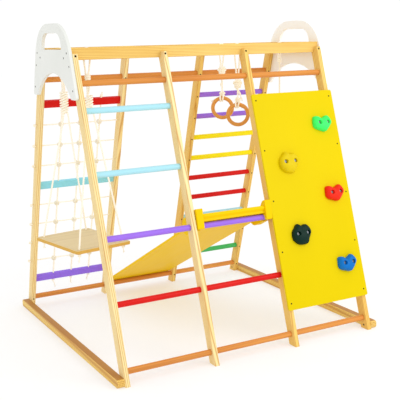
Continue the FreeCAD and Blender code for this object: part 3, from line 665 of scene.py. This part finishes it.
def makeHold(i, colour, side, kind, turnDeg):
    # the outline times sin(w)^0.72 at height h * cos(w)^0.62, dished towards its upper edge, with a
    # steep-sided recess round each bolt
    outline = holdOutline(kind, 193)
    w = np.linspace(0, math.pi / 2, 72)[:, None]
    scale = np.sin(w) ** 0.72
    flat = scale[..., None] * outline[None]
    turn = math.radians(turnDeg)
    spin = np.array([[math.cos(turn), math.sin(turn)], [-math.sin(turn), math.cos(turn)]])
    flat = flat @ spin
    x, y = flat[..., 0], flat[..., 1]
    high = holds["height"] * np.cos(w) ** 0.62 * np.ones_like(x)
    dish = np.exp(-((y - 20) / 13) ** 2 - (x / 30) ** 2)
    belly = np.exp(-((y + 18) / 16) ** 2 - (x / 26) ** 2)
    high = high * (1 - holds["dish"] * dish) - 0.8 * (1 - belly) * (scale < 0.97)
    high = np.maximum(high, 0)
    arm = holds["boltArm"][kind]
    for place in (-arm, arm):
        far = np.hypot(x - place, y - holds["boltRise"])
        wall = np.clip((far - holds["recess"] + 0.6) / 1.8, 0, 1)
        wall = wall * wall * (3 - 2 * wall)
        high = np.where(high > holds["floor"], holds["floor"] + (high - holds["floor"]) * wall, high)
    grid = np.stack([x, y, high], axis=-1)
    base = np.concatenate([grid[-1:] * [1, 1, 0], grid[-1:] * [0.5, 0.5, 0], grid[-1:] * [0, 0, 0]])
    grid = np.concatenate([grid, base])
    grid = grid + np.array([middleX + holds["line"] + side * holds["sideStep"],
                            holds["first"] + i * holds["pitch"], holds["panelThick"]])
    made = surface("hold_" + colour, frontPlane(grid) * mm, None, "frame")
    made.name = "climbingHold" + colour.title().replace("_", "")
    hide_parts("hold_" + colour)
    return made


holdPieces = {each[0]: makeHold(i, *each) for i, each in enumerate(holds["each"])}
print("holds made")


# ---- shader helpers
class Signal:
    # a socket that takes part in sums: each sum adds its Math node
    def __init__(self, paint, socket):
        self.paint = paint
        self.socket = socket

    def __add__(self, other):
        return self.paint.math("ADD", self, other)

    def __sub__(self, other):
        return self.paint.math("SUBTRACT", self, other)

    def __rsub__(self, other):
        return self.paint.math("SUBTRACT", other, self)

    def __mul__(self, other):
        return self.paint.math("MULTIPLY", self, other)

    def __truediv__(self, other):
        return self.paint.math("DIVIDE", self, other)

    def __pow__(self, other):
        return self.paint.math("POWER", self, other)

    __radd__ = __add__
    __rmul__ = __mul__


class Paint:
    # one material; fixed values are set on the shader's own sockets
    def __init__(self, name, **fixed):
        self.material = bpy.data.materials.new(name)
        self.material.use_nodes = True
        self.tree = self.material.node_tree
        self.shader = self.tree.nodes["Principled BSDF"]
        for key, value in fixed.items():
            self.shader.inputs[key.replace("_", " ")].default_value = value

    def node(self, kind, settings=None, inputs=None, out=0):
        made = self.tree.nodes.new(kind)
        for key, value in (settings or {}).items():
            setattr(made, key, value)
        for key, value in (inputs or {}).items():
            if isinstance(value, Signal):
                self.tree.links.new(value.socket, made.inputs[key])
            else:
                made.inputs[key].default_value = value
        return Signal(self, made.outputs[out])

    def math(self, operation, *values):
        return self.node("ShaderNodeMath", {"operation": operation}, dict(enumerate(values)))

    def mix(self, factor, a, b):
        a, b = ((*c, 1.0) if isinstance(c, tuple) else c for c in (a, b))
        return self.node("ShaderNodeMix", {"data_type": "RGBA"}, {0: factor, 6: a, 7: b}, 2)

    def noise(self, vector, scale, detail=3.0, rough=0.55):
        return self.node("ShaderNodeTexNoise", None,
                         {"Vector": vector, "Scale": scale, "Detail": detail, "Roughness": rough})

    def placed(self, turn=(0, 0, 0), move=(0, 0, 0), scale=(1, 1, 1), source=None):
        source = source or self.node("ShaderNodeTexCoord", None, None, "Object")
        return self.node("ShaderNodeMapping", None,
                         {"Vector": source, "Rotation": turn, "Location": move, "Scale": scale})

    def apart(self, vector):
        made = self.tree.nodes.new("ShaderNodeSeparateXYZ")
        self.tree.links.new(vector.socket, made.inputs[0])
        return [Signal(self, out) for out in made.outputs]

    def finish(self, colour, rough, height=None, bump=0.2, depth=0.001):
        self.tree.links.new(colour.socket, self.shader.inputs["Base Color"])
        if isinstance(rough, Signal):
            self.tree.links.new(rough.socket, self.shader.inputs["Roughness"])
        else:
            self.shader.inputs["Roughness"].default_value = rough
        if height is not None:
            relief = self.node("ShaderNodeBump", None,
                               {"Strength": bump, "Distance": depth, "Height": height})
            self.tree.links.new(relief.socket, self.shader.inputs["Normal"])
        return self.material


def srgb(red, green, blue):
    # a screen colour as the shader's linear one
    c = np.array([red, green, blue]) / 255
    c = np.where(c <= 0.04045, c / 12.92, ((c + 0.055) / 1.055) ** 2.4)
    return tuple(float(v) for v in c)


def turnTo(axis):
    # the Euler turn that brings an axis onto X
    axis = Vector(axis).normalized()
    other = Vector((1, 0, 0)) if abs(axis.x) < 0.9 else Vector((0, 1, 0))
    second = axis.cross(other).normalized()
    return tuple(Matrix((axis, second, axis.cross(second))).to_euler())


# ---- finishes
alongX = (1, 0, 0)
wood = {
    "plain": (srgb(247, 218, 130), srgb(233, 184, 84)),
    # pale: the same pine painted lighter, painted light for the lit posts at the left end
    "pale": (srgb(253, 239, 184), srgb(245, 214, 138)),
    "line": srgb(196, 132, 52),
    "seam": srgb(168, 106, 42),
    "ringPitch": 0.0062,
    "ringOff": (0.031, 0.047),
}


def grain(paint, axis, shift, pitch, off):
    # growth rings about an axis beside the piece, sin(2 pi * radius / pitch) with the radius bent by
    # noise, and fine fibres along the grain
    at = paint.placed(turn=turnTo(axis), move=(shift, 0, 0))
    along, left, over = paint.apart(at)
    bend = paint.noise(paint.placed(scale=(2.2, 14, 14), source=at), 1.0, 2.0)
    drift = (along * 0.02) + (bend * 0.016)
    radius = ((left + off[0] + drift) ** 2 + (over + off[1]) ** 2) ** 0.5
    growth = paint.math("SINE", radius * (turnAll / pitch)) * 0.5 + 0.5
    fibre = paint.noise(paint.placed(scale=(9, 620, 620), source=at), 1.0, 2.0)
    return growth, fibre, bend


def pine(name, axis, shift, glueLines=0.0, paintedLightTone="plain"):
    paint = Paint(name, Specular_IOR_Level=0.16, Coat_Weight=0.02, Coat_Roughness=0.25)
    growth, fibre, bend = grain(paint, axis, shift, wood["ringPitch"], wood["ringOff"])
    late = growth ** 3.0
    colour = paint.mix(bend * 1.6 - 0.35, *wood[paintedLightTone])
    colour = paint.mix(late * 0.7, colour, wood["line"])
    colour = paint.mix((fibre - 0.5) * 0.6, colour, wood["line"])
    height = fibre * 0.5 - late * 0.3
    if glueLines:
        z = paint.apart(paint.placed())[2]
        wave = paint.math("ABSOLUTE", paint.math("SINE", z * (math.pi / glueLines)))
        seam = paint.math("LESS_THAN", wave, 0.3)
        colour = paint.mix(seam * 0.8, colour, wood["seam"])
        height = height - seam
    rough = 0.42 + fibre * 0.16
    return paint.finish(colour, rough, height, 0.25, 0.0006)


def stained(name, light, deep):
    paint = Paint(name, Specular_IOR_Level=0.18, Coat_Weight=0.05, Coat_Roughness=0.2)
    growth, fibre, bend = grain(paint, alongX, 0.3, 0.0052, (0.02, 0.03))
    colour = paint.mix(bend * 1.8 - 0.4, light, deep)
    line = tuple(c * 0.72 for c in deep)
    colour = paint.mix(growth ** 2.5 * 0.45 + (fibre - 0.5) * 0.5, colour, line)
    return paint.finish(colour, 0.36 + fibre * 0.18, fibre * 0.6 - growth * 0.2, 0.2, 0.0005)


def painted(name, colour, rough=0.3):
    # lacquer over wood: the fibres show faintly, and the film is a little uneven
    paint = Paint(name, Specular_IOR_Level=0.12, Coat_Weight=0.03, Coat_Roughness=0.12)
    at = paint.placed(turn=turnTo(alongX))
    fibre = paint.noise(paint.placed(scale=(7, 340, 340), source=at), 1.0, 3.0)
    cloud = paint.noise(at, 9.0, 2.0)
    deep = tuple(c * 0.84 for c in colour)
    pale = tuple(min(1.0, c * 1.05 + 0.012) for c in colour)
    shade = paint.mix(cloud * 1.3 - 0.15, pale, colour)
    shade = paint.mix((fibre - 0.42) * 0.7, shade, deep)
    return paint.finish(shade, rough + fibre * 0.14, fibre + cloud * 0.3, 0.16, 0.0005)


def panelFilm(name, colour):
    # a smooth film on board: a slight orange peel, faint rubbing
    paint = Paint(name, Specular_IOR_Level=0.05)
    at = paint.placed()
    peel = paint.noise(at, 420.0, 2.0)
    cloud = paint.noise(at, 3.2, 3.0)
    rub = paint.noise(paint.placed(scale=(60, 4, 4), source=at), 1.0, 4.0)
    deep = tuple(c * 0.93 for c in colour)
    shade = paint.mix(cloud * 1.2 - 0.1, colour, deep)
    return paint.finish(shade, 0.3 + rub * 0.16, peel + rub * 0.2, 0.05, 0.0003)


def whiteBoard(name, light, deep):
    paint = Paint(name, Specular_IOR_Level=0.15)
    at = paint.placed()
    peel = paint.noise(at, 380.0, 2.0)
    cloud = paint.noise(at, 5.0, 3.0)
    shade = paint.mix(cloud * 1.4 - 0.2, light, deep)
    return paint.finish(shade, 0.38 + peel * 0.12, peel, 0.05, 0.0003)


def moulded(name, colour):
    # cast resin: sandy, with specks
    paint = Paint(name, Specular_IOR_Level=0.15, Coat_Weight=0.02, Coat_Roughness=0.3)
    at = paint.placed()
    sand = paint.noise(at, 900.0, 3.0, 0.7)
    cloud = paint.noise(at, 30.0, 2.0)
    deep = tuple(c * 0.7 for c in colour)
    shade = paint.mix(cloud * 1.2 - 0.2, colour, tuple(c * 0.88 for c in colour))
    speck = paint.math("GREATER_THAN", sand, 0.64)
    shade = paint.mix(speck * 0.35, shade, deep)
    return paint.finish(shade, 0.38 + sand * 0.2, sand + cloud, 0.22, 0.0005)


def cotton():
    # laid strands: painted shade in the grooves, fine yarns across each strand, and a faint glow that
    # paints light through the fibres
    # the emission is a painted glow: light painted into the rope, which is no lamp
    paint = Paint("cottonRope", Specular_IOR_Level=0.1, Emission_Color=(1, 0.95, 0.84, 1),
                  Emission_Strength=0.12)
    uv = paint.node("ShaderNodeTexCoord", None, None, "UV")
    angle, far, _ = paint.apart(uv)
    turned = paint.math("COSINE", (angle - far / (rope["lay"] * mm)) * (rope["strands"] * math.pi))
    wave = paint.math("ABSOLUTE", turned)
    yarn = paint.math("SINE", (angle * 9 + far * 620) * turnAll) * 0.5 + 0.5
    fluff = paint.noise(paint.placed(), 700.0, 3.0)
    # groove marks the hollows between strands, where the colour is darkened as painted shade
    groove = 1 - wave ** 0.5
    shade = paint.mix(fluff * 1.3 - 0.2, srgb(254, 250, 238), srgb(246, 239, 220))
    shade = paint.mix(groove * 0.5, shade, srgb(216, 203, 170))
    shade = paint.mix(yarn * 0.14, shade, srgb(214, 200, 170))
    return paint.finish(shade, 0.86, wave * 0.9 + yarn * 0.25 + fluff * 0.3, 0.35, 0.0012)


def netPlastic():
    paint = Paint("netJointPlastic", Specular_IOR_Level=0.3)
    at = paint.placed()
    fine = paint.noise(at, 650.0, 2.0)
    cloud = paint.noise(at, 40.0, 2.0)
    shade = paint.mix(cloud, srgb(246, 240, 222), srgb(232, 224, 202))
    return paint.finish(shade, 0.48 + fine * 0.12, fine, 0.12, 0.0004)


def ringWood():
    # bent wood: the grain runs round the ring
    paint = Paint("ringWood", Specular_IOR_Level=0.25, Coat_Weight=0.15, Coat_Roughness=0.08)
    uv = paint.node("ShaderNodeTexCoord", None, None, "UV")
    at = paint.placed(source=uv, scale=(5, 16, 1))
    streak = paint.noise(at, 2.0, 4.0)
    fine = paint.noise(paint.placed(), 260.0, 2.0)
    shade = paint.mix(streak * 1.9 - 0.45, srgb(240, 178, 90), srgb(206, 130, 52))
    shade = paint.mix((fine - 0.5) * 0.4, shade, srgb(160, 78, 28))
    return paint.finish(shade, 0.28 + streak * 0.1, streak, 0.08, 0.0005)


def seatWood():
    # plywood: a tan face and golden plies at the edge
    paint = Paint("seatWood", Specular_IOR_Level=0.15)
    growth, fibre, bend = grain(paint, (0.98, 0.17, 0), 0.1, 0.016, (0.05, 0.02))
    normal = paint.apart(paint.node("ShaderNodeTexCoord", None, None, "Normal"))[2]
    face = paint.math("GREATER_THAN", paint.math("ABSOLUTE", normal), 0.8)
    z = paint.apart(paint.placed())[2]
    plies = paint.math("SINE", z * (turnAll / 0.005)) * 0.5 + 0.5
    top = paint.mix(bend * 1.5 - 0.3, srgb(231, 212, 168), srgb(219, 198, 152))
    top = paint.mix(growth ** 3.0 * 0.18 + (fibre - 0.5) * 0.3, top, srgb(180, 152, 100))
    edge = paint.mix(plies * 0.7 + (fibre - 0.5) * 0.5, srgb(230, 186, 92), srgb(196, 140, 52))
    shade = paint.mix(face, edge, top)
    return paint.finish(shade, 0.5 + fibre * 0.15, fibre * 0.6 + plies * 0.3, 0.2, 0.0005)


def metal(name, light, dark, rough):
    paint = Paint(name, Metallic=0.9)
    at = paint.placed()
    scratch = paint.noise(paint.placed(scale=(900, 120, 900), source=at), 1.0, 3.0)
    cloud = paint.noise(at, 240.0, 2.0)
    shade = paint.mix(cloud, light, dark)
    return paint.finish(shade, rough + scratch * 0.2, scratch, 0.15, 0.0002)


def dress(names, material):
    for name in names:
        target = nodes[name]
        if not target.material_slots:
            target.data.materials.append(material)
        for place in target.material_slots:
            place.material = material


paints = {
    "light_blue": srgb(170, 222, 234),
    "purple": srgb(156, 110, 228),
    "red": srgb(214, 12, 4),
    "yellow": srgb(250, 232, 3),
    "green": srgb(70, 180, 96),
    "panel": srgb(228, 202, 1),
    "slide": srgb(246, 204, 2),
    "brown": (srgb(234, 160, 76), srgb(208, 128, 56)),
    "boards": {"red": srgb(210, 11, 6), "blue": srgb(144, 218, 236), "purple": srgb(146, 108, 232)},
    "holds": {"blue": srgb(1, 112, 196), "dark_green": srgb(1, 40, 30), "red": srgb(237, 42, 16),
              "yellow": srgb(226, 198, 1), "light_green": srgb(69, 252, 112)},
}
shifts = iter(np.arange(40) * 0.377)
upFront = (0, math.sin(lean), math.cos(lean))
upBack = (0, -math.sin(lean), math.cos(lean))
for i in range(1, 5):
    # posts 1 and 2 take the pale tone: painted light, a lit copy of the same pine
    paintedLightTone = "pale" if i < 3 else "plain"
    dress([f"front_post_{i}"], pine(f"pineFrontPost{i}", upFront, next(shifts), paintedLightTone=paintedLightTone))
    dress([f"back_post_{i}"], pine(f"pineBackPost{i}", upBack, next(shifts), paintedLightTone=paintedLightTone))
dress(["front_ridge_beam"], pine("pineFrontBeam", alongX, next(shifts)))
dress(["back_ridge_beam"], pine("pineBackBeam", alongX, next(shifts)))
dress(["top_end_rails"], pine("pineTopRails", (0, 1, 0), next(shifts)))
dress(["cross_rungs"], pine("pineCrossRungs", (0, 1, 0), next(shifts)))
dress(["base_beam_left"], pine("pineBaseLeft", (0, 1, 0), next(shifts), 0.0068))
dress(["base_beam_right"], pine("pineBaseRight", (0, 1, 0), next(shifts), 0.0068))
dress(["net_board_dowels"], pine("pineDowels", alongX, next(shifts)))
dress(["brown_rungs"], stained("brownStain", *paints["brown"]))
for colour in ("light_blue", "purple", "red", "yellow", "green"):
    plain = colour.title().replace("_", "")
    dress([colour + "_rungs"], painted("rungLacquer" + plain, paints[colour]))
for colour, shade in paints["boards"].items():
    dress(["net_board_" + colour], painted("boardLacquer" + colour.title(), shade, rough=0.34))
# the end plates are one white board: the left copy is painted darker (painted shade), the right copy is
# painted brighter (painted light)
dress(["end_plate_left"], whiteBoard("whiteBoardLeftPaintedShade", srgb(235, 236, 231), srgb(226, 228, 222)))
dress(["end_plate_right"], whiteBoard("whiteBoardRightPaintedLight", srgb(255, 254, 250), srgb(252, 251, 247)))
dress(["climbing_panel"], panelFilm("yellowPanelFilm", paints["panel"]))
dress(["slide_board", "slide_cheeks", "slide_crossbar"], panelFilm("yellowSlideFilm", paints["slide"]))
dress(["swing_seat"], seatWood())
zinc = metal("zincSteel", srgb(150, 154, 158), srgb(96, 100, 104), 0.3)
dress(["hold_bolts", "hold_tee_nuts"], zinc)
darkScrew = metal("darkScrew", srgb(46, 38, 30), srgb(22, 18, 14), 0.5)
dress(["rung_pins", "ridge_screws", "base_screws", "end_plate_screws", "panel_screws", "slide_screws"],
      darkScrew)
cottonRope = cotton()
for piece in ropePieces:
    piece.data.materials.append(cottonRope)
netJoints.data.materials.append(netPlastic())
bentWood = ringWood()
for piece in ringPieces:
    piece.data.materials.append(bentWood)
for colour, piece in holdPieces.items():
    piece.data.materials.append(moulded("holdResin" + colour.title().replace("_", ""),
                                        paints["holds"][colour]))
print("finishes made")


# ---- floor
def makeFloor():
    half = studio["floorHalf"]
    corner = np.array([-half, half])
    x, y = np.meshgrid(corner, corner)
    grid = np.stack([x, y, np.full_like(x, -0.0004)], axis=-1)
    made = surface("floor", grid)
    paint = Paint("paleFloor", Specular_IOR_Level=0.05, Emission_Color=(1, 1, 1, 1),
                  Emission_Strength=0.45)
    cloud = paint.noise(paint.placed(), 3.0, 2.0)
    shade = paint.mix(cloud, srgb(196, 196, 196), srgb(194, 194, 194))
    made.data.materials.append(paint.finish(shade, 0.9))


makeFloor()
